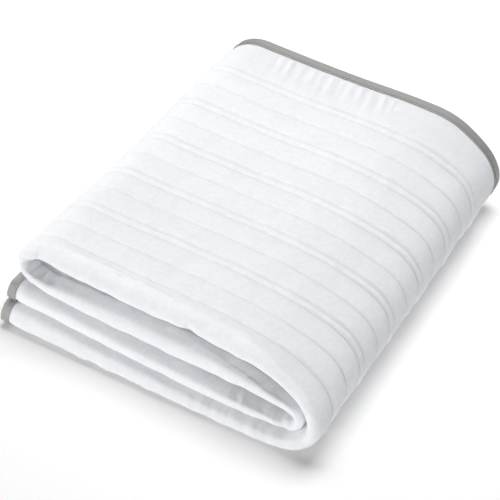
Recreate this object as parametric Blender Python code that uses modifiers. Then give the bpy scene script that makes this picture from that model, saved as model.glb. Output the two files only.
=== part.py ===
"""Electric heated blanket: a single-bed quilted underblanket, folded up as it is stored.

The flat blanket is 1.50 m x 0.90 m, edged all round with a tape binding. It is folded in half
along its length, which makes a strip of two plies with a soft roll along the front, and the strip
is then folded in half twice. From the table up the strip lies as layers 4, 3, 2 and 1. Layers 4
and 1 are joined by the large fold at the right, 2 and 3 by a small fold inside it, and 1 and 2 by
a tight fold at the left, where the bound ends of layers 3 and 4 show under it.

Metres, +Z up, +X to the right, +Y to the back. The origin is at the middle of the underside.
"""

import math
from collections import namedtuple

import bmesh
import bpy
import numpy as np

# Cloth
CLOTH_THICKNESS = 0.0040
FRONT_Y = -0.200
BACK_Y = 0.228
ROLL_DEPTH = 1.15
ROLL_LEAN = 0.30
ROLL_STEPS = 7

# Stitched channels, which run along the strip: heating channels and plain stitch lines alternate
CHANNEL_PITCH = 0.0672
FIRST_CHANNEL_Y = -0.182
CHANNELS = 6
CHANNEL_DEPTH = 0.0008
STITCH_DEPTH = 0.0005

# Tape binding, folded over every edge and flush with the cloth beside it
TAPE_WIDTH = 0.0130
TAPE_THICKNESS = 0.0007
TAPE_GAP = 0.0004
TAPE_CHAMFER = 0.0006
EDGE_DEPTH = TAPE_THICKNESS + TAPE_GAP
EDGE_RAMP = 0.0080

# Unevenness of the pile
PUFF = 0.030
PUFF_LENGTH = 0.360
TAPER = 0.040
TAPER_START_X = 0.020
TAPER_END_X = 0.180
DROOP = 0.037
DROOP_START_Y = 0.150
SHOULDER = 0.007
SHOULDER_X = (0.110, 0.180)
SHOULDER_Z = (0.020, 0.060)
PRESSED_FLAT = 0.0006

# Most that the strip turns between two drawn rows, and the step that its direction is read over
MOST_TURN = math.radians(20)
SAMPLE_STEP = 0.001

# The strip's course from the bound end of layer 4 to the bound end of layer 3, in millimetres:
# x and z of its middle, half its height over both plies, and how far its front roll and the rest
# of it slip towards the back.
Row = namedtuple("Row", "place x z half front slip")
COURSE = (
    Row("layer 4, bound end", -188, 12.6, 12.6, -31, -31),
    Row("layer 4, hem", -174, 12.6, 12.6, -31, -31),
    Row("layer 4, beside the hem", -160, 12.6, 12.6, -31, -31),
    Row("layer 4, left", -115, 11.4, 11.4, -31, -31),
    Row("layer 4, middle", -40, 9.0, 9.0, -31, -31),
    Row("layer 4, right", 30, 7.6, 7.6, -31, -31),
    Row("layer 4, far right", 90, 6.8, 6.8, -30, -29),
    Row("large fold, start", 140, 6.8, 6.6, -29, -25),
    Row("large fold, low", 170, 17.0, 7.0, -26, -19),
    Row("large fold, side", 181, 37.0, 7.3, -21, -13),
    Row("large fold, high", 170, 57.0, 7.5, -15, -7),
    Row("large fold, shoulder", 141, 71.5, 8.3, -9, -3),
    Row("layer 1, far right", 106, 80.0, 11.0, -6, -2),
    Row("layer 1, right", 60, 82.6, 13.2, -3, -1),
    Row("layer 1, notch", 22, 84.6, 12.0, -2, 0),
    Row("layer 1, middle", -20, 82.6, 14.0, -1, 0),
    Row("layer 1, left", -70, 83.4, 14.2, 0, 0),
    Row("layer 1, far left", -120, 86.2, 13.2, 0, 0),
    Row("tight fold, start", -148, 88.4, 11.2, 0, 0),
    Row("tight fold, high", -168, 84.0, 7.0, -2, -2),
    Row("tight fold, side", -175.4, 72.5, 5.4, -5, -5),
    Row("tight fold, low", -168, 60.5, 5.4, -8, -8),
    Row("layer 2, far left", -143, 54.5, 6.5, -10, -10),
    Row("layer 2, left", -100, 53.6, 9.6, -11, -11),
    Row("layer 2, middle", -40, 51.8, 11.8, -11, -11),
    Row("layer 2, right", 30, 50.2, 12.0, -11, -11),
    Row("layer 2, far right", 88, 49.6, 9.0, -12, -12),
    Row("small fold, start", 120, 47.8, 6.2, -13, -13),
    Row("small fold, entry", 137, 45.8, 5.2, -13.5, -13.5),
    Row("small fold, high", 149, 44.4, 4.8, -14, -14),
    Row("small fold, upper side", 157, 41.2, 4.8, -14.5, -14.5),
    Row("small fold, side", 160.2, 33.6, 4.8, -15, -15),
    Row("small fold, lower side", 157, 26.0, 4.8, -15.5, -15.5),
    Row("small fold, low", 149, 22.8, 4.8, -16, -16),
    Row("small fold, exit", 137, 21.6, 5.2, -16.5, -16.5),
    Row("small fold, end", 120, 21.6, 6.2, -17, -17),
    Row("layer 3, far right", 90, 22.4, 7.8, -19, -19),
    Row("layer 3, right", 40, 25.2, 9.4, -20, -20),
    Row("layer 3, middle", -30, 28.2, 9.4, -20, -20),
    Row("layer 3, left", -100, 33.2, 9.8, -20, -20),
    Row("layer 3, beside the hem", -157, 37.0, 10.0, -20, -20),
    Row("layer 3, hem", -171, 37.0, 10.0, -20, -20),
    Row("layer 3, bound end", -185, 37.0, 10.0, -20, -20),
)

# Finishes: colour, roughness and metallic value
FINISHES = {
    "quilted_cloth": ((0.90, 0.91, 0.92, 1.0), 0.95, 0.0),
    "tape_binding": ((0.30, 0.30, 0.29, 1.0), 0.80, 0.0),
}

Station = namedtuple("Station", "y angle depth")
OUTER = math.pi / 2
INNER = -math.pi / 2


def clear_scene():
    """Remove whatever the file holds."""
    for obj in list(bpy.data.objects):
        bpy.data.objects.remove(obj, do_unlink=True)


def course_at(position):
    """Row values at a position along COURSE: 0 is its first row, 1 its second and so on."""
    rows = np.array([row[1:] for row in COURSE]) / 1000
    table = np.vstack([2 * rows[0] - rows[1], rows, 2 * rows[-1] - rows[-2]])
    index = min(max(int(position), 0), len(rows) - 2)
    before, start, end, after = table[index : index + 4]
    t = position - index
    return start + 0.5 * t * (
        end - before
        + t * (2 * before - 5 * start + 4 * end - after + t * (3 * (start - end) + after - before))
    )


def strip_frame(position):
    """Middle (x, z), outward normal (x, z), half height, and front and other slip at a position."""
    x, z, half, front, slip = course_at(position)
    ahead = course_at(position + SAMPLE_STEP)
    behind = course_at(position - SAMPLE_STEP)
    run = np.array([ahead[0] - behind[0], ahead[1] - behind[1]])
    run /= np.linalg.norm(run)
    return np.array([x, z]), np.array([run[1], -run[0]]), half, front, slip


def smooth(value, low, high):
    """0 below low, 1 above high and a soft ramp between them."""
    t = min(max((value - low) / (high - low), 0.0), 1.0)
    return t * t * (3 - 2 * t)


def uneven(x, y, z):
    """The small swell and taper of the whole pile. The underside stays on the table."""
    swell = 1 + PUFF * math.cos(2 * math.pi * (y - FRONT_Y) / PUFF_LENGTH)
    swell -= DROOP * smooth(y, DROOP_START_Y, BACK_Y)
    narrowing = TAPER * (y - FRONT_Y) * smooth(x, TAPER_START_X, TAPER_END_X)
    crown = smooth(y, FRONT_Y, FIRST_CHANNEL_Y + CHANNEL_PITCH / 2) * (1 - smooth(y, DROOP_START_Y, BACK_Y))
    full = SHOULDER * crown * smooth(x, *SHOULDER_X) * smooth(z, *SHOULDER_Z)
    z = z * swell + full
    return x - narrowing, y, 0.0 if z < PRESSED_FLAT else z


def section(half, rise, station):
    """(y, out) of a station on the face of the strip, and the outward normal there."""
    side = math.sin(station.angle)
    if station.y is not None:
        return np.array([station.y, side * half]), np.array([0.0, side])
    front = math.cos(station.angle)
    reach = ROLL_DEPTH * half
    lean = ROLL_LEAN * rise * half
    point = np.array([FRONT_Y + reach - front * (reach - lean * side), side * half])
    normal = np.array([-half * front, reach * side + lean * math.cos(2 * station.angle)])
    return point, normal / np.linalg.norm(normal)


def place(frame, station, depth):
    """World point of a station across the strip, at a depth below the cloth's outer face."""
    middle, normal, half, front, slip = frame
    point, outward = section(half, normal[1], station)
    y, out = point - depth * outward
    y += front + (slip - front) * smooth(y, FRONT_Y + half, FIRST_CHANNEL_Y + half)
    return uneven(middle[0] + normal[0] * out, y, middle[1] + normal[1] * out)


def channel_lines():
    """(y, depth) of the stitched lines, with a crown between each two, from back to front."""
    half_pitch = CHANNEL_PITCH / 2
    lines = []
    for number in range(2 * CHANNELS - 1):
        y = FIRST_CHANNEL_Y + number * half_pitch
        lines.append((y, STITCH_DEPTH if number % 2 else CHANNEL_DEPTH))
        lines.append((y + half_pitch / 2, 0.0))
    return lines[::-1]


def stations():
    """Stations across the strip: the outer ply to the front, the roll, the inner ply to the back."""
    hem = [(BACK_Y, EDGE_DEPTH), (BACK_Y - TAPE_WIDTH, EDGE_DEPTH), (BACK_Y - TAPE_WIDTH - EDGE_RAMP, 0)]
    lines = channel_lines()
    outer = [Station(y, OUTER, depth) for y, depth in hem + lines]
    roll = [
        Station(None, OUTER - math.pi * (step + 0.5) / ROLL_STEPS, 0.0) for step in range(ROLL_STEPS)
    ]
    heating = [line for line in lines if line[1] == CHANNEL_DEPTH]
    crowns = [(y + CHANNEL_PITCH / 2, 0.0) for y, _ in heating]
    inner = [Station(y, INNER, depth) for y, depth in sorted(heating + crowns) + hem[::-1]]
    return outer + roll + inner


def positions():
    """Positions along COURSE at which the strip is drawn."""
    found = []
    for number in range(len(COURSE) - 1):
        cosine = strip_frame(number + SAMPLE_STEP)[1] @ strip_frame(number + 1 - SAMPLE_STEP)[1]
        steps = max(1, math.ceil(math.acos(min(cosine, 1.0)) / MOST_TURN))
        found += [number + step / steps for step in range(steps)]
    return found + [len(COURSE) - 1]


def on_table(frame, station):
    """Whether a station is on the underside of layer 4, which the weight presses flat."""
    return place(frame, station, 0)[2] == 0.0


def cloth_depth(number, last, frame, station):
    """How far stitching or binding draws the cloth in from its full thickness."""
    if number in (0, 1, last - 1, last):
        return EDGE_DEPTH
    if station.depth < EDGE_DEPTH and on_table(frame, station):
        return 0.0
    return station.depth


def grid_object(name, points, thickness, finish, weights=None, least=0.0):
    """A grid of points as a sheet, thickened away from its outer face by Solidify."""
    columns, rows = len(points), len(points[0])
    mesh = bpy.data.meshes.new(name)
    form = bmesh.new()
    bmesh.ops.create_grid(form, x_segments=columns - 1, y_segments=rows - 1, size=1)
    form.verts.ensure_lookup_table()
    weight_of = {}
    for vert in form.verts:
        column = round((vert.co.x + 1) / 2 * (columns - 1))
        row = round((vert.co.y + 1) / 2 * (rows - 1))
        weight_of[vert.index] = weights[column][row] if weights else 1.0
        vert.co = points[column][row]
    bmesh.ops.reverse_faces(form, faces=form.faces)
    form.to_mesh(mesh)
    form.free()
    obj = bpy.data.objects.new(name, mesh)
    mesh.shade_smooth()
    mesh.materials.append(finish)
    group = obj.vertex_groups.new(name="thickness")
    for index, weight in weight_of.items():
        group.add([index], weight, "REPLACE")
    shell = obj.modifiers.new("thickness", "SOLIDIFY")
    shell.thickness = thickness
    shell.offset = -1
    shell.use_even_offset = True
    shell.vertex_group = group.name
    shell.thickness_vertex_group = least
    return obj


def cloth(finish):
    """The whole blanket as one folded sheet, drawn in at its stitching and its edges."""
    across = stations()
    along = positions()
    least = 1 - 2 * EDGE_DEPTH / CLOTH_THICKNESS
    points, weights = [], []
    for number, position in enumerate(along):
        frame = strip_frame(position)
        depths = [cloth_depth(number, len(along) - 1, frame, station) for station in across]
        points.append([place(frame, station, depth) for station, depth in zip(across, depths)])
        weights.append([1 - depth / EDGE_DEPTH for depth in depths])
    return grid_object("blanket", points[::-1], CLOTH_THICKNESS, finish, weights[::-1], least)


def tape_section():
    """(distance in from the cloth's edge, depth) round the tape's outer face, over the edge."""
    over = -EDGE_DEPTH
    upper = [(TAPE_WIDTH, 0.0), (over + TAPE_CHAMFER, 0.0), (over, TAPE_CHAMFER)]
    return upper + [(inset, CLOTH_THICKNESS - depth) for inset, depth in upper[::-1]]


def position_from_end(inset, at_start):
    """Position along COURSE that lies a distance in from one bound end of the strip."""
    last = len(COURSE) - 1
    hem = abs(COURSE[1].x - COURSE[0].x) / 1000
    return inset / hem if at_start else last - inset / hem


def back_binding(name, angle, finish):
    """The tape along the back edge of one ply, between the tapes on the two ends."""
    clear = TAPE_WIDTH + TAPE_GAP
    along = positions()
    along[0] = position_from_end(clear, True)
    along[-1] = position_from_end(clear, False)
    along = sorted(set(along[:1] + along[2:-2] + along[-1:]))
    points = []
    for position in along:
        frame = strip_frame(position)
        points.append(
            [place(frame, Station(BACK_Y - inset, angle, 0), depth) for inset, depth in tape_section()]
        )
    if angle == INNER:
        points.reverse()
    return grid_object(name, points, TAPE_THICKNESS, finish)


def end_binding(name, at_start, finish):
    """The tape over one end of the strip, along both plies and round the roll between them."""
    across = stations()
    across[0] = Station(BACK_Y + EDGE_DEPTH, OUTER, 0)
    across[-1] = Station(BACK_Y + EDGE_DEPTH, INNER, 0)
    points = []
    for inset, depth in tape_section():
        frame = strip_frame(position_from_end(inset, at_start))
        points.append([place(frame, station, depth) for station in across])
    if not at_start:
        points.reverse()
    return grid_object(name, points, TAPE_THICKNESS, finish)


def make_finish(name):
    """A Principled material for one of FINISHES."""
    colour, roughness, metallic = FINISHES[name]
    material = bpy.data.materials.new(name)
    material.use_nodes = True
    shader = material.node_tree.nodes["Principled BSDF"]
    shader.inputs["Base Color"].default_value = colour
    shader.inputs["Roughness"].default_value = roughness
    shader.inputs["Metallic"].default_value = metallic
    material.diffuse_color = colour
    return material


def centre(pieces):
    """Move the pieces so that the origin is under the middle of their bounding box."""
    bpy.context.view_layer.update()
    corners = np.array([piece.matrix_world @ vert.co for piece in pieces for vert in piece.data.vertices])
    low, high = corners.min(axis=0), corners.max(axis=0)
    for piece in pieces:
        piece.location.x -= (low[0] + high[0]) / 2
        piece.location.y -= (low[1] + high[1]) / 2


def main():
    clear_scene()
    white = make_finish("quilted_cloth")
    grey = make_finish("tape_binding")
    pieces = [
        cloth(white),
        back_binding("binding_back_outer", OUTER, grey),
        back_binding("binding_back_inner", INNER, grey),
        end_binding("binding_end_bottom", True, grey),
        end_binding("binding_end_inner", False, grey),
    ]
    collection = bpy.data.collections.new("heated_blanket")
    bpy.context.scene.collection.children.link(collection)
    for piece in pieces:
        collection.objects.link(piece)
    centre(pieces)


main()
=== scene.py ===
"""Electric heated blanket, folded up: quilted white cloth, grey tape binding and sewing thread.

The cloth is one sheet of 1.50 m x 0.90 m. It is folded in half along its length into a strip of
two plies with a soft roll along the front, and the strip is folded in half twice. Every piece is
laid on the strip's course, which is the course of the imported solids.
"""

import logging
import math
from dataclasses import dataclass
from enum import Enum

import bpy
import numpy as np
from bpy.types import Material, Node, NodeSocket, NodeTree, Object
from mathutils import Matrix, Vector


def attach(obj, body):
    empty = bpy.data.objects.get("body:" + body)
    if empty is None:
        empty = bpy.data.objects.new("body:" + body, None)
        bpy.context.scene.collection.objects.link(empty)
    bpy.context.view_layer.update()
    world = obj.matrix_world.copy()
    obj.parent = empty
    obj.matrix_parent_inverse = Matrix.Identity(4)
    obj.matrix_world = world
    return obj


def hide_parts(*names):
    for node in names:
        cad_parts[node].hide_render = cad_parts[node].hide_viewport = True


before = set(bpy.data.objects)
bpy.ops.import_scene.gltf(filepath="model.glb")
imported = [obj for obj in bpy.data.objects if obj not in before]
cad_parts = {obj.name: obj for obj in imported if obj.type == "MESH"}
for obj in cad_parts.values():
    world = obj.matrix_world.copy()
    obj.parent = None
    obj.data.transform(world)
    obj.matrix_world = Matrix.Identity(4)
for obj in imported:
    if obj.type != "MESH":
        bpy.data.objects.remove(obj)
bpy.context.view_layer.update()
LOG = logging.getLogger("heated_blanket")
MM = 0.001
BODY = "root"
WHITE = (1.0, 1.0, 1.0, 1.0)
Array = np.ndarray
Numbers = Array | float

# The strip's course from the bound end of layer 4 to the bound end of layer 3, in millimetres: x
# and z of its middle, half its height over both plies, and how far its front roll and the rest of
# it slip towards the back.
COURSE = np.array([
    (-188, 12.6, 12.6, -31, -31), (-174, 12.6, 12.6, -31, -31), (-160, 12.6, 12.6, -31, -31),
    (-115, 11.4, 11.4, -31, -31), (-40, 9.0, 9.0, -31, -31), (30, 7.6, 7.6, -31, -31),
    (90, 6.8, 6.8, -30, -29), (140, 6.8, 6.6, -29, -25), (170, 17.0, 7.0, -26, -19),
    (181, 37.0, 7.3, -21, -13), (170, 57.0, 7.5, -15, -7), (141, 71.5, 8.3, -9, -3),
    (106, 80.0, 11.0, -6, -2), (60, 82.6, 13.2, -3, -1), (22, 84.6, 12.0, -2, 0),
    (-20, 82.6, 14.0, -1, 0), (-70, 83.4, 14.2, 0, 0), (-120, 86.2, 13.2, 0, 0),
    (-148, 88.4, 11.2, 0, 0), (-168, 84.0, 7.0, -2, -2), (-175.4, 72.5, 5.4, -5, -5),
    (-168, 60.5, 5.4, -8, -8), (-143, 54.5, 6.5, -10, -10), (-100, 53.6, 9.6, -11, -11),
    (-40, 51.8, 11.8, -11, -11), (30, 50.2, 12.0, -11, -11), (88, 49.6, 9.0, -12, -12),
    (120, 47.8, 6.2, -13, -13), (137, 45.8, 5.2, -13.5, -13.5), (149, 44.4, 4.8, -14, -14),
    (157, 41.2, 4.8, -14.5, -14.5), (160.2, 33.6, 4.8, -15, -15), (157, 26.0, 4.8, -15.5, -15.5),
    (149, 22.8, 4.8, -16, -16), (137, 21.6, 5.2, -16.5, -16.5), (120, 21.6, 6.2, -17, -17),
    (90, 22.4, 7.8, -19, -19), (40, 25.2, 9.4, -20, -20), (-30, 28.2, 9.4, -20, -20),
    (-100, 33.2, 9.8, -20, -20), (-157, 37.0, 10.0, -20, -20), (-171, 37.0, 10.0, -20, -20),
    (-185, 37.0, 10.0, -20, -20),
])

# The length of strip between two rows of the course at either bound end, in metres.
HEM = abs(COURSE[1][0] - COURSE[0][0]) * MM


class Ply(Enum):
    """The two plies of the strip, and the angle at which each leaves the front roll."""

    OUTER = math.pi / 2
    INNER = -math.pi / 2


class Stitch(Enum):
    """The two kinds of sewn line that run along the blanket."""

    HEATING = "two rows with the heating wire between them"
    PLAIN = "one row"


class End(Enum):
    """The two bound ends of the strip, by the layer that each is in."""

    LAYER_FOUR = 0
    LAYER_THREE = len(COURSE) - 1

    def inset(self, distance: Array) -> Array:
        """Positions along the course at a distance in from this end, in metres."""
        return self.value + (1 if self is End.LAYER_FOUR else -1) * distance / HEM


def smooth(value: Numbers, low: Numbers, high: Numbers) -> Array:
    """Soft ramp from 0 to 1.

    Args:
        value: Where the ramp is read.
        low: Where it starts.
        high: Where it ends.

    Returns:
        0 below low, 1 above high and a soft step between them.
    """
    t = np.clip((np.asarray(value, float) - low) / (high - low), 0.0, 1.0)
    return t * t * (3 - 2 * t)


def hump(value: Array, middle: Numbers, width: Numbers) -> Array:
    """Soft bump of height 1.

    Args:
        value: Where it is read.
        middle: Its middle.
        width: How far from the middle it falls to about a third.

    Returns:
        The bump's height at each value.
    """
    return np.exp(-(((value - middle) / width) ** 2))


def ripples(
    along: Array, across: Array, shortest: float, longest: float, seed: int
) -> Array:
    """Random soft ripples, the same in every run.

    Args:
        along: Distance along the cloth, in metres.
        across: Distance across the cloth, in metres.
        shortest: The shortest wave, in metres.
        longest: The longest wave, in metres.
        seed: Which pattern is drawn.

    Returns:
        Heights from about -1 to 1.
    """
    draw = np.random.default_rng(seed)
    waves = 14
    total = np.zeros(np.broadcast(along, across).shape)
    for _ in range(waves):
        length = math.exp(draw.uniform(math.log(shortest), math.log(longest)))
        turn, phase = draw.uniform(0, math.pi), draw.uniform(0, 2 * math.pi)
        ahead, aside = math.cos(turn) / length, math.sin(turn) / length
        total = total + np.sin(2 * math.pi * (along * ahead + across * aside) + phase)
    return total * math.sqrt(2 / waves) / 2


@dataclass(frozen=True)
class Across:
    """Places on the strip's section: y on a ply, or the angle round the roll where rolled."""

    y: Array
    angle: Array
    rolled: Array

    @staticmethod
    def on_ply(y: Array, ply: Ply) -> "Across":
        """Places on one ply."""
        return Across(y, np.full(np.shape(y), ply.value), np.zeros(np.shape(y), bool))

    @staticmethod
    def joined(outer: Array, roll_steps: int, inner: Array) -> "Across":
        """Places over the outer ply, round the roll and back over the inner ply.

        Args:
            outer: y of the places on the outer ply, from the back.
            roll_steps: Number of places on the roll.
            inner: y of the places on the inner ply, from the front.

        Returns:
            The places, in that order.
        """
        roll = math.pi / 2 - math.pi * (np.arange(roll_steps) + 0.5) / roll_steps
        sizes = (len(outer), roll_steps, len(inner))
        above, below = np.full(len(outer), Ply.OUTER.value), np.full(len(inner), Ply.INNER.value)
        return Across(
            np.concatenate([outer, np.zeros(roll_steps), inner]),
            np.concatenate([above, roll, below]),
            np.repeat([False, True, False], sizes),
        )


@dataclass(frozen=True)
class Strip:
    """The two-ply strip and its course through the layers of the pile."""

    front_y: float = -0.200
    back_y: float = 0.228
    roll_depth: float = 1.15
    roll_lean: float = 0.30
    first_line_y: float = -0.182
    puff: float = 0.030
    puff_length: float = 0.360
    taper: float = 0.040
    taper_x: tuple[float, float] = (0.020, 0.180)
    droop: float = 0.037
    droop_y: float = 0.150
    shoulder: float = 0.007
    shoulder_x: tuple[float, float] = (0.110, 0.180)
    shoulder_z: tuple[float, float] = (0.020, 0.060)
    crown_y: float = -0.1484
    corner_back: float = 0.0052
    corner_in: float = 0.0028
    corner_x: tuple[float, float] = (0.112, 0.062)
    corner_y: tuple[float, float] = (0.100, 0.228)
    pressed_flat: float = 0.0006
    shift: tuple[float, float] = (0.00020205, 0.00097135)
    sample_step: float = 0.001
    length_samples: int = 9000

    def rows(self, position: Array) -> Array:
        """Course values at positions along it.

        Args:
            position: 0 is the course's first row, 1 its second and so on.

        Returns:
            x, z, half height, front slip and slip in the last axis, in metres.
        """
        rows = COURSE * MM
        table = np.vstack([2 * rows[0] - rows[1], rows, 2 * rows[-1] - rows[-2]])
        index = np.clip(np.floor(position).astype(int), 0, len(rows) - 2)
        before, start, end, after = (table[index + step] for step in range(4))
        t = (position - index)[..., None]
        second = 2 * before - 5 * start + 4 * end - after
        third = 3 * (start - end) + after - before
        return start + 0.5 * t * (end - before + t * (second + t * third))

    def normals(self, position: Array) -> Array:
        """Outward direction of the strip's outer face.

        Args:
            position: Positions along the course.

        Returns:
            x and z of the direction at each position.
        """
        run = self.rows(position + self.sample_step) - self.rows(position - self.sample_step)
        run = run[..., :2] / np.linalg.norm(run[..., :2], axis=-1, keepdims=True)
        return np.stack([run[..., 1], -run[..., 0]], axis=-1)

    def lengths(self) -> tuple[Array, Array]:
        """Positions along the course and the length of strip up to each.

        Returns:
            The positions, and the lengths in metres.
        """
        position = np.linspace(0, len(COURSE) - 1, self.length_samples)
        middle = self.rows(position)[:, :2]
        steps = np.linalg.norm(np.diff(middle, axis=0), axis=1)
        return position, np.concatenate([[0.0], np.cumsum(steps)])

    def along(self, position: Array) -> Array:
        """The length of strip up to each position, in metres."""
        return np.interp(position, *self.lengths())

    def uneven(self, x: Array, y: Array, z: Array) -> Array:
        """The small swell and taper of the whole pile, with the underside kept on the table.

        Args:
            x: Points across the pile's width.
            y: Points from front to back.
            z: Points' heights.

        Returns:
            The moved points, with the coordinates in the last axis.
        """
        swell = 1 + self.puff * np.cos(2 * np.pi * (y - self.front_y) / self.puff_length)
        swell = swell - self.droop * smooth(y, self.droop_y, self.back_y)
        narrowing = self.taper * (y - self.front_y) * smooth(x, *self.taper_x)
        crown = smooth(y, self.front_y, self.crown_y) * (1 - smooth(y, self.droop_y, self.back_y))
        full = self.shoulder * crown * smooth(x, *self.shoulder_x) * smooth(z, *self.shoulder_z)
        corner = smooth(y, *self.corner_y) * smooth(z, *self.shoulder_z)
        y = y + self.corner_back * corner * hump(x, *self.corner_x)
        x = x - self.corner_in * corner * smooth(x, *self.shoulder_x)
        z = z * swell + full
        z = np.where(z < self.pressed_flat, 0.0, z)
        return np.stack([x - narrowing + self.shift[0], y + self.shift[1], z], axis=-1)

    def place(self, position: Array, across: Across, lift: Numbers) -> Array:
        """Points on the strip, or a little above or below its face.

        Args:
            position: Positions along the course, which broadcast with the places across.
            across: Places across the strip.
            lift: How far each point lies outside the strip's face, in metres.

        Returns:
            Points, with the coordinates in the last axis.
        """
        values, normal = self.rows(position), self.normals(position)
        half, front, slip = values[..., 2], values[..., 3], values[..., 4]
        side, ahead = np.sin(across.angle), np.cos(across.angle)
        reach, lean = self.roll_depth * half, self.roll_lean * normal[..., 1] * half
        y = np.where(across.rolled, self.front_y + reach - ahead * (reach - lean * side), across.y)
        facing_y = np.where(across.rolled, -half * ahead, 0.0)
        facing_out = np.where(across.rolled, reach * side + lean * np.cos(2 * across.angle), side)
        size = np.hypot(facing_y, facing_out)
        y = y + lift * facing_y / size
        out = side * half + lift * facing_out / size
        ramp = smooth(y, self.front_y + half, self.first_line_y + half)
        y = y + front + (slip - front) * ramp
        x, z = (values[..., axis] + normal[..., axis] * out for axis in (0, 1))
        return self.uneven(x, y, z)


@dataclass(frozen=True)
class Wrinkle:
    """A short trough, or a ridge where its depth is negative: along in metres, the rest in mm."""

    along: float
    down: float
    depth: float
    width: float = 3.0
    reach: float = 7.0
    slant: float = 0.0

    def lift(self, along: Array, down: Array) -> Array:
        """Shape of the wrinkle.

        Args:
            along: Distance along the strip, in metres.
            down: Distance down from where the wrinkle is measured, in metres.

        Returns:
            Lift in metres.
        """
        offset = along - self.along + self.slant * (down - self.down * MM)
        shape = hump(offset, 0.0, self.width * MM) * hump(down, self.down * MM, self.reach * MM)
        return -self.depth * MM * shape


def wrinkle_rows(*rows: tuple[float, ...]) -> tuple[Wrinkle, ...]:
    """Wrinkles from rows of numbers in the order of their fields."""
    return tuple(Wrinkle(*row) for row in rows)


@dataclass(frozen=True)
class Crease:
    """A long crease round a front: lengths along the strip in metres and the rest in mm."""

    along: tuple[float, ...]
    down: tuple[float, ...]
    depth: float
    width: float = 1.3
    fade: float = 0.020  # metres

    def lift(self, along: Array, down: Array) -> Array:
        """Shape of the crease.

        Args:
            along: Distance along the strip, in metres.
            down: Distance round the front, in metres.

        Returns:
            Lift in metres.
        """
        middle = np.interp(along, self.along, self.down) * MM
        ends = smooth(along, self.along[0], self.along[0] + self.fade)
        ends = ends * (1 - smooth(along, self.along[-1] - self.fade, self.along[-1]))
        return -self.depth * MM * ends * hump(down, middle, self.width * MM)


@dataclass(frozen=True)
class Front:
    """The rolled front of one layer: where it is, its squared shoulder and the dip above that."""

    start: float
    end: float
    square: float
    dip: float
    shoulder: float = 1.0
    width: float = 0.42
    fade: float = 0.8
    dip_at: float = 0.1
    dip_width: float = 0.5

    def lift(self, position: Array, part: Array) -> Array:
        """Shape of the front.

        Args:
            position: Positions along the course.
            part: Distance round the front, in half heights of the strip.

        Returns:
            Lift in metres.
        """
        here = smooth(position, self.start - self.fade, self.start + self.fade)
        here = here * (1 - smooth(position, self.end - self.fade, self.end + self.fade))
        shape = self.square * hump(part, self.shoulder, self.width)
        shape = shape - self.dip * hump(part, self.dip_at, self.dip_width)
        return here * shape * MM


@dataclass(frozen=True)
class Puckers:
    """Small leaning gathers in front of the back binding: zone, pitch and floor in metres."""

    zone: tuple[float, float] = (0.535, 0.700)
    pitch: float = 0.0065
    depth: float = 3.2
    depths: tuple[float, float] = (0.35, 1.0)
    ridge: float = 0.8
    down: tuple[float, float] = (4, 12)
    width: tuple[float, float] = (2.0, 3.4)
    reach: tuple[float, float] = (14, 30)
    slant: float = 0.26
    floor: float = -0.0027
    seed: int = 17

    def drawn(self) -> list[Wrinkle]:
        """Troughs and ridges in turn, as uneven as the sewing made them.

        Returns:
            The gathers, measured forward from the binding.
        """
        draw = np.random.default_rng(self.seed)
        gathers = []
        for number in range(round((self.zone[1] - self.zone[0]) / self.pitch)):
            along = self.zone[0] + (number + draw.uniform(0.0, 1.0)) * self.pitch
            depth = self.depth * draw.uniform(*self.depths) * (1.0, -self.ridge)[number % 2]
            spans = (self.down, self.width, self.reach)
            down, width, reach = (draw.uniform(*span) for span in spans)
            gathers.append(Wrinkle(along, down, depth, width, reach, self.slant))
        return gathers

    def lift(self, along: Array, down: Array) -> Array:
        """Shape of all the gathers, none so deep that it reaches the hidden face."""
        return np.maximum(sum(gather.lift(along, down) for gather in self.drawn()), self.floor)


def rim_faces(
    first: list[int], second: list[int], first_at: Array, second_at: Array
) -> list[tuple[int, ...]]:
    """Triangles that join two rows of vertices which may differ in number.

    Args:
        first: Vertices of one row.
        second: Vertices of the other row, from the same end.
        first_at: How far along its row each vertex of the first row lies.
        second_at: The same for the second row.

    Returns:
        Triangles, wound from the first row to the second.
    """
    faces = []
    i = j = 0
    while i < len(first) - 1 or j < len(second) - 1:
        if j == len(second) - 1 or (i < len(first) - 1 and first_at[i + 1] <= second_at[j + 1]):
            faces.append((first[i], first[i + 1], second[j]))
            i += 1
        else:
            faces.append((first[i], second[j + 1], second[j]))
            j += 1
    return faces


def as_faces(numbers: Array) -> list[tuple[int, ...]]:
    """Faces of four vertices each, from an array of their numbers."""
    return [tuple(quad) for quad in numbers.reshape(-1, 4).tolist()]


def grid_quads(rows: int, columns: int, start: int = 0) -> list[tuple[int, ...]]:
    """Faces of a grid of vertices.

    Args:
        rows: Number of rows.
        columns: Number of vertices in a row.
        start: Number of the first vertex.

    Returns:
        Four vertex numbers for each face.
    """
    corner = start + np.arange(rows - 1)[:, None] * columns + np.arange(columns - 1)[None]
    return as_faces(np.stack([corner, corner + columns, corner + columns + 1, corner + 1], axis=-1))


def new_piece(
    name: str,
    points: Array,
    faces: list[tuple[int, ...]],
    material: Material,
    lay: Array | None = None,
) -> Object:
    """A smooth mesh object in the scene.

    Args:
        name: The piece's name.
        points: Its vertices.
        faces: Its faces, as vertex numbers.
        material: Its material.
        lay: For each vertex, its distance along and across the cloth and its painted groove shade.

    Returns:
        The object.
    """
    mesh = bpy.data.meshes.new(name)
    mesh.from_pydata(points.tolist(), [], faces)
    mesh.validate()
    mesh.shade_smooth()
    mesh.materials.append(material)
    if lay is not None:
        made = mesh.attributes.new("lay", "FLOAT_VECTOR", "POINT")
        made.data.foreach_set("vector", lay.astype(np.float32).ravel())
    piece = bpy.data.objects.new(name, mesh)
    bpy.context.scene.collection.objects.link(piece)
    return piece


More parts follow.
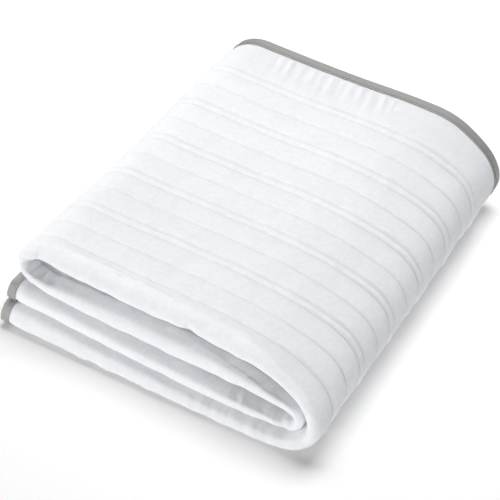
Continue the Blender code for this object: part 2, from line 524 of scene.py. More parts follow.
@dataclass
class QuiltedCloth:
    """The whole blanket as one thin sheet on the strip's course, drawn in at its stitching."""

    strip: Strip
    thickness: float = 0.0040
    row_step: float = 0.0050
    fine_step: float = 0.0017
    fine_zones: tuple[tuple[float, float], ...] = (
        (0.215, 0.365),
        (0.535, 0.700),
        (0.735, 0.800),
        (1.020, 1.215),
    )
    channel_pitch: float = 0.0672
    channels: int = 6
    roll_steps: int = 22
    hidden_steps: int = 9
    hidden_roll_steps: int = 10
    by_heating: tuple[float, ...] = (-9, -6.3, -5, -3.7, 0, 3.7, 5, 6.3, 9)
    by_plain: tuple[float, ...] = (-4, -1.5, 0, 1.5, 4)
    by_roll: tuple[float, ...] = (0, 2, 4, 6, 8, 10.5, 14)
    hidden_by_roll: tuple[float, ...] = (0.008, 0.002, 0.0)
    roll_margin: float = 0.001
    ply_margin: float = 0.020
    inner_places: int = 20
    back_margin: float = 0.002
    back_step: float = 0.0055
    tape_width: float = 0.0130
    end_tape_width: float = 0.0095
    edge_depth: float = 0.0011
    edge_ramp: float = 0.0080
    heating_rows: float = 0.0050
    heating_depth: float = 0.0011
    rib_height: float = 0.0006
    rib_edge: tuple[float, float] = (0.0022, 0.0042)
    second_row: float = 0.7
    plain_depth: float = 0.0007
    groove_width: float = 0.0012
    seam_narrowing: float = 0.8
    crown_height: float = 0.0004
    crowns_in_pitch: int = 7
    crinkle: float = 0.00050
    crinkle_waves: tuple[float, float] = (0.016, 0.060)
    crinkle_seed: int = 3
    wander: float = 0.0009
    wander_slant: float = 0.6
    wander_waves: tuple[float, float] = (0.090, 0.300)
    wander_seed: int = 5
    wander_margins: tuple[float, float] = (0.025, 0.010)
    fold_fullness: float = 1.8
    fold_zone: tuple[float, float] = (0.400, 0.060)
    # painted shade in the seams' grooves: its strength away from the large fold, and added on it
    seam_shade: tuple[float, float] = (0.35, 1.9)
    front_rise: tuple[float, float] = (0.35, 0.95)
    puckers: Puckers = Puckers()
    fronts: tuple[Front, ...] = (
        Front(-2.0, 9.0, 0.9, 0.3, 0.9),
        Front(20.8, 29.6, 1.5, 0.5, 1.05),
        Front(34.0, 43.0, 2.2, 0.7, 1.2, 0.36),
    )
    creases: tuple[Crease, ...] = (
        # the sewn edge of the lining, just above the lip of layer 1
        Crease((0.425, 0.452, 0.556, 0.628, 0.690), (5.0, 8.5, 14.5, 20.0, 22.0), 0.3),
        # the same edge on layer 2, under the lip
        Crease((0.930, 0.990, 1.040, 1.080), (-1.0, 2.0, 4.0, 5.0), -0.5, 1.0),
    )
    wrinkles: tuple[Wrinkle, ...] = wrinkle_rows(
        # layer 3, towards the small fold: soft troughs with narrow ridges between them
        (1.214, 3, 0.5, 4.5, 7, 0.4), (1.200, 3, -0.7, 1.8, 7, 0.4), (1.191, 4, 1.1, 3.0, 9, 0.4),
        (1.184, 5, -1.1, 1.7, 9, 0.4), (1.176, 2, 0.6, 3.0, 6, 0.4), (1.161, 3, 1.2, 4.6, 8, 0.35),
        (1.154, 6, -0.4, 1.6, 6, 0.3), (1.148, 4, -1.3, 1.8, 9, 0.3), (1.139, 3, 1.6, 2.6, 8, 0.3),
        (1.131, 5, -1.2, 1.9, 8, 0.2),
        # layer 4, towards the large fold
        (0.222, 4, 0.7, 3.2, 8, -0.4), (0.236, 3, 0.9, 3.0, 8, -0.4),
        (0.246, 5, -0.8, 1.8, 8, -0.4), (0.256, 4, 1.0, 3.2, 9, -0.4),
        (0.268, 3, 0.8, 2.4, 7, -0.4), (0.276, 5, 1.0, 2.2, 9, -0.4),
        (0.284, 4, -0.8, 1.8, 8, -0.35), (0.295, 4, 1.1, 3.4, 9, -0.3),
        (0.303, 5, -0.5, 1.6, 7, -0.3), (0.309, 3, 0.7, 2.0, 7, -0.3),
        (0.319, 4, 1.1, 3.0, 8, -0.2), (0.328, 4, -0.8, 1.9, 8, -0.2), (0.339, 3, 0.9, 2.8, 7),
        (0.352, 3, -0.5, 2.4, 7),
        # layer 2, curved towards the small fold
        (1.028, 2, 1.0, 4.5, 9, 0.9), (1.050, 2, 1.1, 3.6, 9, 0.8), (1.064, 3, -0.6, 2.4, 8, 0.8),
        (1.074, 2, 1.0, 3.2, 8, 0.6),
        # layer 1: the notch in its lip
        (0.553, 25, 2.6, 5.0, 7), (0.566, 25, -0.9, 6.0, 6),
        # layer 4: low bumps on its bottom edge
        (0.101, 26, -1.3, 6.0, 6), (0.184, 16, -1.2, 6.0, 5),
    )
    gathers: tuple[Wrinkle, ...] = wrinkle_rows(
        # radial gathers round the tight fold, measured from the outer ply
        (0.738, 14, 1, 2.0, 7), (0.745, 15, 0.9, 1.8, 6), (0.751, 14, 1.2, 1.8, 7),
        (0.758, 14, 1, 1.8, 6), (0.765, 15, 1.4, 2.0, 7), (0.773, 14, 1, 2.0, 6),
        (0.782, 14, 1.4, 2.2, 7), (0.793, 13, 1, 2.6, 6),
        # the thick rim that closes the top of the hollow, and the lumps inside it
        (0.748, 18, -2.2, 9.0, 6), (0.764, 25, -2.2, 3.0, 4), (0.771, 27, 2.8, 2.2, 6),
        (0.777, 30, -2.2, 2.0, 4), (0.783, 26, 3.2, 2.4, 6), (0.789, 29, -2.4, 2.2, 4),
        (0.796, 26, 3.4, 2.6, 6), (0.803, 30, -2.0, 2.4, 4), (0.811, 27, 2.8, 3.4, 7),
        (0.824, 26, -0.7, 5.0, 4),
        # fullness that closes the gap between the small fold and the large one
        (0.360, 30, -3.2, 10.0, 8), (0.366, 42, -3.2, 12.0, 8), (0.392, 25, -2.5, 14.0, 9),
        (1.120, 14, -2.0, 8.0, 7), (1.122, 27, -1.8, 8.0, 7),
    )

    @property
    def half_gap(self) -> float:
        """Half the distance between two stitched lines."""
        return self.channel_pitch / 4

    def lines(self) -> list[tuple[float, Stitch]]:
        """y of each stitched line with its kind, from the front.

        Returns:
            The lines, in metres.
        """
        kinds = (Stitch.HEATING, Stitch.PLAIN)
        return [
            (self.strip.first_line_y + number * self.channel_pitch / 2, kinds[number % 2])
            for number in range(2 * self.channels - 1)
        ]

    def positions(self) -> Array:
        """Positions along the course at which the cloth is drawn, closer where it is wrinkled.

        Returns:
            The positions, from layer 4's end.
        """
        position, length = self.strip.lengths()
        fine = np.zeros(len(length), bool)
        for start, end in self.fine_zones:
            fine |= (length > start) & (length < end)
        steps = np.diff(length) / np.where(fine, self.fine_step, self.row_step)[1:]
        drawn = np.concatenate([[0.0], np.cumsum(steps)])
        return np.interp(np.linspace(0, drawn[-1], round(drawn[-1]) + 1), drawn, position)

    def face_places(self) -> Across:
        """Places over the cloth's outer face, closest together beside the stitching.

        Returns:
            The places, from the back over the outer ply and round to the back.
        """
        front = self.strip.first_line_y - self.roll_margin
        found = [self.strip.back_y - np.array([0, 0.5, 1]) * self.tape_width]
        for y, kind in self.lines():
            around = self.by_heating if kind is Stitch.HEATING else self.by_plain
            found += [y + np.array(around) * MM, [y + self.half_gap]]
        behind = self.lines()[-1][0] + self.ply_margin
        found.append(np.arange(behind, found[0][-1] - self.back_margin, self.back_step))
        outer = np.unique(np.round(np.concatenate(found), 5))[::-1]
        clear = self.strip.back_y - self.tape_width
        inner = np.linspace(front + self.ply_margin, clear, self.inner_places)
        inner = np.concatenate([front + np.array(self.by_roll) * MM, inner, found[0][:2][::-1]])
        return Across.joined(outer[outer >= front], self.roll_steps, inner)

    def hidden_places(self) -> Across:
        """Places over the cloth's hidden face, which lies between the plies.

        Returns:
            The places, in the same order as those of the outer face.
        """
        clear, front = self.strip.back_y - self.tape_width, self.strip.first_line_y
        ply = np.linspace(clear - self.edge_ramp, front + self.ply_margin, self.hidden_steps)
        by_tape = [self.strip.back_y, clear, clear - self.edge_ramp / 2]
        ply = np.concatenate([by_tape, ply, front + np.array(self.hidden_by_roll)])
        return Across.joined(ply, self.hidden_roll_steps, ply[::-1])

    def build(self, material: Material) -> Object:
        """The cloth's mesh as a piece of the scene.

        Args:
            material: The cloth's finish.

        Returns:
            The piece.
        """
        position = self.positions()[:, None]
        face, hidden = self.face_places(), self.hidden_places()
        lift, seam = self.relief(position, face)
        outer = self.strip.place(position, self.strayed(position, face), lift)
        pressed = self.bound(position, hidden) * self.edge_depth - self.thickness
        inner = self.strip.place(position, hidden, pressed)
        rows, wide, narrow = len(position), len(face.y), len(hidden.y)
        start = rows * wide
        last, end = start - wide, start + (rows - 1) * narrow
        faces = grid_quads(rows, wide)
        faces += [quad[::-1] for quad in grid_quads(rows, narrow, start)]
        ends = ((0, start, -1, position[:1]), (last, end, 1, position[-1:]))
        for first, second, turn, row in ends:
            at = [-self.lay(row, places, 0.0)[:, 1] for places in (face, hidden)]
            edges = [list(range(first, first + wide)), list(range(second, second + narrow))]
            faces += [triangle[::turn] for triangle in rim_faces(*edges, *at)]
        for row in range(rows - 1):
            a, b = row * wide, start + row * narrow
            faces.append((a, b, b + narrow, a + wide))
            a, b = a + wide - 1, b + narrow - 1
            faces.append((a, a + wide, b + narrow, b))
        points = np.concatenate([outer.reshape(-1, 3), inner.reshape(-1, 3)])
        lay = np.concatenate([self.lay(position, face, seam), self.lay(position, hidden, 0.0)])
        return new_piece("quilted_sheet", points, faces, material, lay)

    def lay(self, position: Array, across: Across, seam: Numbers) -> Array:
        """Distance along and across the cloth, and the painted groove shade, for each vertex.

        Args:
            position: Positions along the course.
            across: Places across the strip.
            seam: Weight of the painted shade in a seam's groove.

        Returns:
            One row of three numbers for each vertex.
        """
        along = self.strip.along(position)
        half = self.strip.rows(position)[..., 2]
        turned = (math.pi / 2 - across.angle) * half * (1 + self.strip.roll_depth) / 2
        far = 2 * self.strip.front_y - across.y
        flat = np.where(across.angle > 0, across.y, far)
        side = np.where(across.rolled, self.strip.front_y - turned, flat)
        shape = np.broadcast(along, side).shape
        parts = [np.broadcast_to(part, shape) for part in (along, side, seam)]
        return np.stack(parts, axis=-1).reshape(-1, 3)

    def around_front(self, position: Array, across: Across, up: Numbers) -> Array:
        """How far round the front each place is, from the start of the roll on one of its sides.

        Args:
            position: Positions along the course.
            across: Places across the strip.
            up: 1 to measure from the outer ply and -1 from the inner one.

        Returns:
            The distance in metres, negative on the ply that it is measured from.
        """
        half = self.strip.rows(position)[..., 2]
        radius = half * (1 + self.strip.roll_depth) / 2
        start = self.strip.front_y + self.strip.roll_depth * half
        on_roll = (math.pi / 2 - across.angle * up) * radius
        far = math.pi * radius + across.y - start
        on_ply = np.where(across.angle * up > 0, start - across.y, far)
        return np.where(across.rolled, on_roll, on_ply)

    def relief(self, position: Array, across: Across) -> tuple[Array, Array]:
        """How far the cloth's face stands out or in at each point, and its painted groove shade.

        Args:
            position: Positions along the course.
            across: Places across the strip.

        Returns:
            Lift in metres, and painted groove shade, which is stronger on the large fold.
        """
        along = self.strip.along(position)
        seam, lift = self.quilting(across.y)
        lift, seam = (np.where(across.rolled, 0.0, part)[None] for part in (lift, seam))
        fullness = hump(along, *self.fold_zone)
        lift = lift * (1 + self.fold_fullness * fullness)
        # painted shade: the seams' grooves are darker on the large fold, where light grazes
        seam = seam * (self.seam_shade[0] + self.seam_shade[1] * fullness)
        rise = self.strip.normals(position)[..., 1]
        down = self.around_front(position, across, np.where(rise >= 0, 1.0, -1.0))
        standing = smooth(np.abs(rise), *self.front_rise)
        lift = lift + standing * self.front_shape(position, along, down)
        down = self.around_front(position, across, 1.0)
        lift = lift + sum(gather.lift(along, down) for gather in self.gathers)
        distance = self.lay(position, across, 0.0)[:, 1].reshape(len(along), -1)
        crinkles = ripples(along, distance, *self.crinkle_waves, self.crinkle_seed)
        lift = lift + self.crinkle * crinkles
        on_top = ~across.rolled & (across.angle > 0)
        from_tape = (self.strip.back_y - self.tape_width - across.y)[None]
        lift = lift + np.where(on_top, self.puckers.lift(along, from_tape), 0.0)
        bound = self.bound(position, across)
        lift = lift * (1 - bound) - bound * self.edge_depth
        return lift, np.broadcast_to(seam, lift.shape)

    def bound(self, position: Array, across: Across) -> Array:
        """How far each place is under the tape, where the cloth is pressed thinner.

        Args:
            position: Positions along the course.
            across: Places across the strip.

        Returns:
            1 under the tape and 0 away from it.
        """
        known, length = self.strip.lengths()
        along = np.interp(position, known, length)
        from_tape = self.strip.back_y - self.tape_width - across.y
        bound = np.where(across.rolled, 0.0, 1 - smooth(from_tape, 0.0, self.edge_ramp))
        from_end = np.minimum(along, length[-1] - along)
        free = smooth(from_end, self.end_tape_width, self.end_tape_width + self.edge_ramp)
        return np.maximum(bound, 1 - free)

    def quilting(self, y: Array) -> tuple[Array, Array]:
        """The grooves of the sewn lines, the ribs over the wire and the soft crowns between them.

        Args:
            y: Places across a ply.

        Returns:
            Nearness to a seam from 0 to 1 for the painted groove shade, and lift in metres.
        """
        seam, lift = np.zeros(y.shape), np.zeros(y.shape)
        for line_y, kind in self.lines():
            for row_y, depth in self.rows_of(line_y, kind):
                lift = lift - depth * hump(y, row_y, self.groove_width)
                near = hump(y, row_y, self.groove_width * self.seam_narrowing)
                seam = np.maximum(seam, depth / self.heating_depth * near)
            if kind is Stitch.HEATING:
                lift = lift + self.rib_height * (1 - smooth(np.abs(y - line_y), *self.rib_edge))
            crown_width = self.channel_pitch / self.crowns_in_pitch
            lift = lift + self.crown_height * hump(y, line_y + self.half_gap, crown_width)
        return seam, lift

    def rows_of(self, y: float, kind: Stitch) -> tuple[tuple[float, float], ...]:
        """The rows of stitches of one line.

        Args:
            y: Where the line is.
            kind: Its kind.

        Returns:
            y and depth of each row.
        """
        if kind is Stitch.PLAIN:
            return ((y, self.plain_depth),)
        shallow = self.heating_depth * self.second_row
        return ((y - self.heating_rows, self.heating_depth), (y + self.heating_rows, shallow))

    def strayed(self, position: Array, across: Across) -> Across:
        """Places across the strip, with the sewn lines straying a little from straight.

        Args:
            position: Positions along the course.
            across: Places across the strip.

        Returns:
            The moved places, one row for each position.
        """
        first, last = self.strip.first_line_y, self.lines()[-1][0]
        margins = self.wander_margins
        free = smooth(across.y, first - self.roll_margin, first + margins[0])
        free = free * (1 - smooth(across.y, last + margins[1], self.strip.back_y - self.tape_width))
        free = np.where(across.rolled | (across.angle < 0), 0.0, free)
        aside = self.wander_slant * across.y
        stray = ripples(self.strip.along(position), aside, *self.wander_waves, self.wander_seed)
        return Across(across.y + self.wander * free * stray, across.angle, across.rolled)

    def front_shape(self, position: Array, along: Array, down: Array) -> Array:
        """Shape of the rolled fronts: a hollow above, a rounded limb below, creases and wrinkles.

        Args:
            position: Positions along the course.
            along: The same places as lengths of strip.
            down: How far round the front each place is.

        Returns:
            Lift in metres.
        """
        part = down / self.strip.rows(position)[..., 2]
        lift = sum(front.lift(position, part) for front in self.fronts)
        return lift + sum(detail.lift(along, down) for detail in (*self.creases, *self.wrinkles))


@dataclass
class TapeBinding:
    """The grey tape that is folded over every edge of the cloth."""

    strip: Strip
    material: Material
    width: float = 0.0130
    end_width: float = 0.0095
    thickness: float = 0.0007
    gap: float = 0.0004
    cloth_thickness: float = 0.0040
    row_step: float = 0.0040
    flat_places: tuple[float, ...] = (1, 0.8, 0.55, 0.3, 0.1)
    nose_steps: int = 6
    nose_depth: float = 0.0012
    end_ply_steps: int = 90
    end_roll_steps: int = 24
    waviness: float = 0.00022
    waves: tuple[float, float] = (0.020, 0.090)
    back_seed: int = 11
    end_seed: int = 21

    @property
    def edge_depth(self) -> float:
        """How far the tape's folded edge lies outside the cloth's edge."""
        return self.thickness + self.gap

    def section(self, width: float) -> tuple[Array, Array]:
        """The closed section round the tape: distance in from the cloth's edge, and lift.

        Args:
            width: How far the tape reaches in over the cloth.

        Returns:
            The two coordinates, round the outer face and back along the inner one.
        """
        nose = np.linspace(0, math.pi, self.nose_steps + 1)
        insets, lifts = [], []
        for layer, turn in ((0.0, 1), (self.thickness, -1)):
            reach, middle = self.cloth_thickness / 2 - layer, -self.cloth_thickness / 2
            flat = np.array(self.flat_places) * width
            nose_in = -self.edge_depth + layer + self.nose_depth * (1 - np.sin(nose))
            side = np.ones(len(flat))
            insets.append(np.concatenate([flat, nose_in, flat[::-1]])[::turn])
            lifts.append((middle + reach * np.concatenate([side, np.cos(nose), -side]))[::turn])
        return np.concatenate(insets), np.concatenate(lifts)

    def tube(self, name: str, points: Array, lay: Array) -> Object:
        """A closed strip of tape from the rings of its section.

        Args:
            name: The piece's name.
            points: Rings x points round the section x 3.
            lay: Distance along and across the tape for each of them.

        Returns:
            The piece.
        """
        rings, around = points.shape[:2]
        corner = np.arange(rings - 1)[:, None] * around
        here, following = np.arange(around)[None], (np.arange(around)[None] + 1) % around
        ring = (here, following, around + following, around + here)
        faces = as_faces(np.stack([corner + number for number in ring], -1))
        for ring, turn in ((0, -1), ((rings - 1) * around, 1)):
            for step in range(around // 2 - 1):
                a, b = ring + step, ring + around - 1 - step
                faces.append((a, a + 1, b - 1, b)[::turn])
        return new_piece(name, points.reshape(-1, 3), faces, self.material, lay.reshape(-1, 3))

    def along_back(self, name: str, ply: Ply) -> Object:
        """The tape along the back edge of one ply.

        Args:
            name: The piece's name.
            ply: Which ply it edges.

        Returns:
            The piece.
        """
        known, length = self.strip.lengths()
        clear = self.end_width + self.gap
        rows = round((length[-1] - 2 * clear) / self.row_step)
        along = np.linspace(clear, length[-1] - clear, rows + 1)[:, None]
        position = np.interp(along, length, known)
        inset, lift = self.section(self.width)
        seed = self.back_seed + (ply is Ply.INNER)
        drift = self.waviness * ripples(along, 0 * along, *self.waves, seed)
        y = self.strip.back_y - inset - drift * smooth(inset, 0, self.width)
        points = self.strip.place(position, Across.on_ply(y, ply), lift)
        lay = np.stack([np.broadcast_to(along, y.shape), y, np.zeros(y.shape)], -1)
        if ply is Ply.OUTER:
            points, lay = points[:, ::-1], lay[:, ::-1]
        return self.tube(name, points, lay)

    def over_end(self, name: str, end: End) -> Object:
        """The tape over one end of the strip, along both plies and round the roll.

        Args:
            name: The piece's name.
            end: Which end of the strip.

        Returns:
            The piece.
        """
        inset, lift = self.section(self.end_width)
        back = self.strip.back_y + self.edge_depth
        ply = np.linspace(back, self.strip.first_line_y, self.end_ply_steps)
        places = Across.joined(ply, self.end_roll_steps, ply[::-1])
        across = Across(places.y[:, None], places.angle[:, None], places.rolled[:, None])
        reading = np.arange(len(places.y))[:, None] * self.row_step
        seed = self.end_seed + end.value
        drift = self.waviness * ripples(reading, 0 * reading, *self.waves, seed)
        position = end.inset(inset + drift * smooth(inset, 0, self.end_width))
        points = self.strip.place(position, across, lift)
        reading = np.broadcast_to(reading, position.shape)
        lay = np.stack([reading, position * HEM, np.zeros(position.shape)], -1)
        if end is End.LAYER_THREE:
            points, lay = points[:, ::-1], lay[:, ::-1]
        return self.tube(name, points, lay)


@dataclass
class Sewing:
    """The sewing thread: straight rows over the quilting and a narrow zigzag along the tapes."""

    strip: Strip
    cloth: QuiltedCloth
    binding: TapeBinding
    white: Material
    grey: Material
    stitch: float = 0.0036
    gap: float = 0.0008
    thickness: float = 0.00050
    tape_thickness: float = 0.00075
    rise: float = 0.00022
    zigzag: float = 0.0015
    zigzag_step: float = 0.0030
    tape_row: float = 0.80
    end_zigzag: float = 0.0010
    end_row: float = 0.90
    tape_clear: float = 0.0010
    corner_clear: float = 0.004
    roll_stitches: int = 14
    sunk: float = 0.8
    arch: tuple[float, ...] = (0.0, 0.5, 1.0)

    def dashes(
        self,
        name: str,
        rows: list[tuple[Array, Array]],
        thickness: float,
        material: Material,
    ) -> Object:
        """Short lengths of thread that come out of the cloth, arch over it and go back in.

        Args:
            name: The piece's name.
            rows: For each row, its stitches x 2 ends x 3, and the outward direction at each.
            thickness: The thread's thickness.
            material: The thread's finish.

        Returns:
            The piece.
        """
        ends, outward = (np.concatenate(parts) for parts in zip(*rows))
        run = ends[:, 1] - ends[:, 0]
        reach = np.linalg.norm(run, axis=1, keepdims=True)
        side = np.cross(run / reach, outward)
        radius = thickness / 2
        share, sides = np.array(self.arch), 4
        heights = np.array([-self.sunk * radius, self.rise, -self.sunk * radius])
        middles = ends[:, :1] + run[:, None] * share[None, :, None]
        middles = middles + outward[:, None] * heights[None, :, None]
        turns = np.arange(sides) * math.pi * 2 / sides
        ring = np.cos(turns)[:, None] * side[:, None] + np.sin(turns)[:, None] * outward[:, None]
        points = middles[:, :, None] + radius * ring[:, None]
        points[..., 2] = np.maximum(points[..., 2], 0.0)
        first = np.arange(sides)
        quads = [first[[0, 3, 2, 1]], first + 2 * sides]
        for here in (first, first + sides):
            following = np.roll(here, -1)
            quads += [*np.stack([here, following, following + sides, here + sides], 1)]
        stitch = len(share) * sides * np.arange(len(ends))[:, None, None]
        faces = as_faces(stitch + np.array(quads)[None])
        lay = np.zeros(points.shape)
        lay[..., 0] = (reach * share)[:, :, None]
        lay[..., 1] = radius * turns
        return new_piece(name, points.reshape(-1, 3), faces, material, lay.reshape(-1, 3))

    def quilting(self) -> Object:
        """The rows of stitches over the outer ply.

        Returns:
            The piece.
        """
        known, length = self.strip.lengths()
        clear = self.binding.end_width + self.tape_clear
        starts = np.arange(clear, length[-1] - clear - self.stitch, self.stitch + self.gap)
        rows = []
        for line_y, kind in self.cloth.lines():
            for row_y, _ in self.cloth.rows_of(line_y, kind):
                across = Across.on_ply(np.array([row_y]), Ply.OUTER)
                ends = []
                for along in (starts, starts + self.stitch):
                    position = np.interp(along, length, known)[:, None]
                    lift, _ = self.cloth.relief(position, across)
                    strayed = self.cloth.strayed(position, across)
                    ends.append(self.strip.place(position, strayed, lift)[:, 0])
                    up = self.strip.place(position, strayed, lift + MM)[:, 0] - ends[-1]
                outward = up / np.linalg.norm(up, axis=1, keepdims=True)
                rows.append((np.stack(ends, axis=1), outward))
        return self.dashes("quilting_thread", rows, self.thickness, self.white)

    def zigzag_row(self, position: Array, across: Across) -> tuple[Array, Array]:
        """Stitches over a tape, each from one place to the next.

        Args:
            position: Positions along the course.
            across: The place across the strip at each of them.

        Returns:
            Stitches x 2 ends x 3, and the outward direction at each.
        """
        at, above = (self.strip.place(position, across, lift) for lift in (0.0, MM))
        return np.stack([at[:-1], at[1:]], axis=1), (above - at)[1:] / MM

    def edging(self) -> Object:
        """The zigzag rows along the inner edges of the two long tapes, on their outer faces.

        Returns:
            The piece.
        """
        known, length = self.strip.lengths()
        clear = self.binding.end_width + self.zigzag
        steps = np.arange(clear, length[-1] - clear, self.zigzag_step)
        swing = self.zigzag * (np.arange(len(steps)) % 2 - 0.5)
        y = self.strip.back_y - self.tape_row * self.binding.width + swing
        position = np.interp(steps, length, known)
        rows = [self.zigzag_row(position, Across.on_ply(y, ply)) for ply in Ply]
        return self.dashes("edging_thread", rows, self.tape_thickness, self.grey)

    def end_edging(self) -> Object:
        """The finer zigzag rows along the inner edges of the two end tapes.

        Returns:
            The piece.
        """
        back = self.strip.back_y - self.corner_clear
        ply = np.arange(back, self.strip.first_line_y, -self.zigzag_step)
        across = Across.joined(ply, self.roll_stitches, ply[::-1])
        swing = self.end_zigzag * (np.arange(len(across.y)) % 2 - 0.5)
        inset = self.end_row * self.binding.end_width + swing
        rows = [self.zigzag_row(end.inset(inset), across) for end in End]
        return self.dashes("end_edging_thread", rows, self.thickness, self.white)


class Lights(Enum):
    """What a lamp lights: everything, or with flags in its way only the pile or only the floor."""

    ALL = "all"
    PILE = "pile"
    FLOOR = "floor"


@dataclass(frozen=True)
class Lamp:
    """A round soft lamp that faces the pile: azimuth 0 is in front and 90 at the right."""

    name: str
    azimuth_deg: float
    elevation_deg: float
    watts: float
    distance: float = 2.4
    size: float = 1.4
    lights: Lights = Lights.ALL


def towards(azimuth_deg: float, elevation_deg: float) -> Vector:
    """The direction from the pile to a place round it.

    Args:
        azimuth_deg: 0 is in front and 90 at the right.
        elevation_deg: 90 is straight above.

    Returns:
        The direction, with a length of 1.
    """
    turn, height = math.radians(azimuth_deg), math.radians(elevation_deg)
    level = math.cos(height)
    return Vector((math.sin(turn) * level, -math.cos(turn) * level, math.sin(height)))


def stood(name: str, data: bpy.types.ID, place: Vector, ahead: Vector) -> Object:
    """A camera or a lamp as an object of the scene.

    Args:
        name: Its name.
        data: The camera or the lamp.
        place: Where it stands.
        ahead: The direction that it faces.

    Returns:
        The object.
    """
    obj = bpy.data.objects.new(name, data)
    turn = ahead.to_track_quat("-Z", "Y").to_matrix().to_4x4()
    obj.matrix_world = Matrix.Translation(place) @ turn
    bpy.context.scene.collection.objects.link(obj)
    return obj


@dataclass
class Studio:
    """Plain pale floor, soft lamps and the camera at the photograph's angle."""

    lens_mm: float = 129.755
    pitch_deg: float = 42.970
    azimuth_deg: float = 31.552
    stand: tuple[float, float, float] = (0.73171997, -1.22939225, 1.34819603)
    sensor_mm: float = 36.0
    clip_end: float = 50.0
    floor_size: float = 14.0
    floor_drop: float = 0.0001
    lamps: tuple[Lamp, ...] = (
        Lamp("lamp_back", 180, 65, 33.5),
        Lamp("lamp_back_left", 225, 38, 3.0),
        Lamp("lamp_left_high", 240, 65, 16.6),
        Lamp("lamp_front", 0, 24, 4.6, lights=Lights.PILE),
        Lamp("lamp_left_low", 312, 14, 24.5, size=0.8, lights=Lights.PILE),
        Lamp("lamp_right_low", 30, 5, 12.2, size=0.8, lights=Lights.PILE),
        Lamp("lamp_right", 38, 38, 9.7),
        Lamp("lamp_over_floor", 166, 62, 7.6, lights=Lights.FLOOR),
    )
    surround: float = 0.02

    def camera(self) -> None:
        """Places the camera."""
        data = bpy.data.cameras.new("camera")
        data.lens = self.lens_mm
        data.sensor_width = self.sensor_mm
        data.clip_end = self.clip_end
        ahead = -towards(self.azimuth_deg, self.pitch_deg)
        bpy.context.scene.camera = stood("camera", data, Vector(self.stand), ahead)

    def floor(self, material: Material) -> Object:
        """Lays the floor under the pile.

        Args:
            material: The floor's finish.

        Returns:
            The floor.
        """
        half = self.floor_size / 2
        points = np.array([(-half, -half, 0), (half, -half, 0), (half, half, 0), (-half, half, 0)])
        floor = new_piece("floor", points - (0, 0, self.floor_drop), [(0, 1, 2, 3)], material)
        return floor

    def light(self, pieces: list[Object], floor: Object) -> None:
        """Sets the soft lamps, which all face the pile.

        Args:
            pieces: The pieces of the blanket.
            floor: The floor.
        """
        lit = {Lights.PILE: pieces, Lights.FLOOR: [floor]}
        flagged = {}
        for reach, objects in lit.items():
            flagged[reach] = bpy.data.collections.new(f"lit_{reach.value}")
            for obj in objects:
                flagged[reach].objects.link(obj)
        world = bpy.data.worlds.new("studio")
        bpy.context.scene.world = world
        world.use_nodes = True
        background = world.node_tree.nodes["Background"]
        background.inputs["Color"].default_value = WHITE
        background.inputs["Strength"].default_value = self.surround
        for lamp in self.lamps:
            data = bpy.data.lights.new(lamp.name, "AREA")
            data.shape = "DISK"
            data.size = lamp.size
            data.energy = lamp.watts
            away = towards(lamp.azimuth_deg, lamp.elevation_deg)
            obj = stood(lamp.name, data, away * lamp.distance, -away)
            if lamp.lights in flagged:
                obj.light_linking.receiver_collection = flagged[lamp.lights]


Setting = float | tuple[float, ...] | NodeSocket


@dataclass
class Wiring:
    """A node tree that is being filled in."""

    tree: NodeTree

    def fill(self, node: Node, settings: dict[str | int, Setting]) -> None:
        """Sets or links inputs of a node.

        Args:
            node: The node.
            settings: A value, or a socket to link, for inputs by name or number.
        """
        for key, value in settings.items():
            if isinstance(value, NodeSocket):
                self.tree.links.new(value, node.inputs[key])
            else:
                node.inputs[key].default_value = value

    def add(
        self, kind: str, settings: dict[str | int, Setting] | None = None, **options: object
    ) -> Node:
        """Adds a node.

        Args:
            kind: The node's type.
            settings: A value, or a socket to link, for inputs by name or number.
            options: The node's own options.

        Returns:
            The node.
        """
        node = self.tree.nodes.new(kind)
        for name, value in options.items():
            setattr(node, name, value)
        self.fill(node, settings or {})
        return node

    def math(self, operation: str, *values: Setting) -> NodeSocket:
        """The result of a sum of one, two or three values."""
        return self.add("ShaderNodeMath", dict(enumerate(values)), operation=operation).outputs[0]

    def plus(self, base: Setting, extra: Setting, share: float) -> NodeSocket:
        """A value plus a share of another."""
        return self.math("ADD", base, self.math("MULTIPLY", extra, share))

    def weighed(self, first: Setting, second: Setting, share: float) -> NodeSocket:
        """A sum of two values, of which the first has the share and the second the rest."""
        return self.plus(self.math("MULTIPLY", first, share), second, 1 - share)

    def noise(self, place: Setting, scale: Setting, detail: float = 2.0) -> NodeSocket:
        """A soft random value round 0.5."""
        node = self.add("ShaderNodeTexNoise", {"Vector": place, "Scale": scale, "Detail": detail})
        return node.outputs["Fac"]

    def blend(self, share: Setting, first: Setting, second: Setting) -> NodeSocket:
        """A colour between two colours."""
        settings = {0: share, 6: first, 7: second}
        return self.add("ShaderNodeMix", settings, data_type="RGBA").outputs[2]

    def between(self, share: Setting, low: float, high: float) -> NodeSocket:
        """A number from low to high."""
        return self.add("ShaderNodeMapRange", {0: share, 3: low, 4: high}).outputs[0]

    def bump(self, height: Setting, distance: float) -> NodeSocket:
        """A normal that a height tilts."""
        settings = {"Strength": 1.0, "Distance": distance, "Height": height}
        return self.add("ShaderNodeBump", settings).outputs[0]

    def place(self) -> NodeSocket:
        """The place in the piece's own frame."""
        return self.add("ShaderNodeTexCoord").outputs["Object"]

    def lay(self) -> NodeSocket:
        """The place along and across the cloth, and its painted shade from a seam's groove."""
        return self.add("ShaderNodeAttribute", attribute_name="lay").outputs["Vector"]

    def effect(self, tree: NodeTree, **values: Setting) -> bpy.types.bpy_prop_collection:
        """The outputs of a shared effect."""
        return self.add("ShaderNodeGroup", values, node_tree=tree).outputs


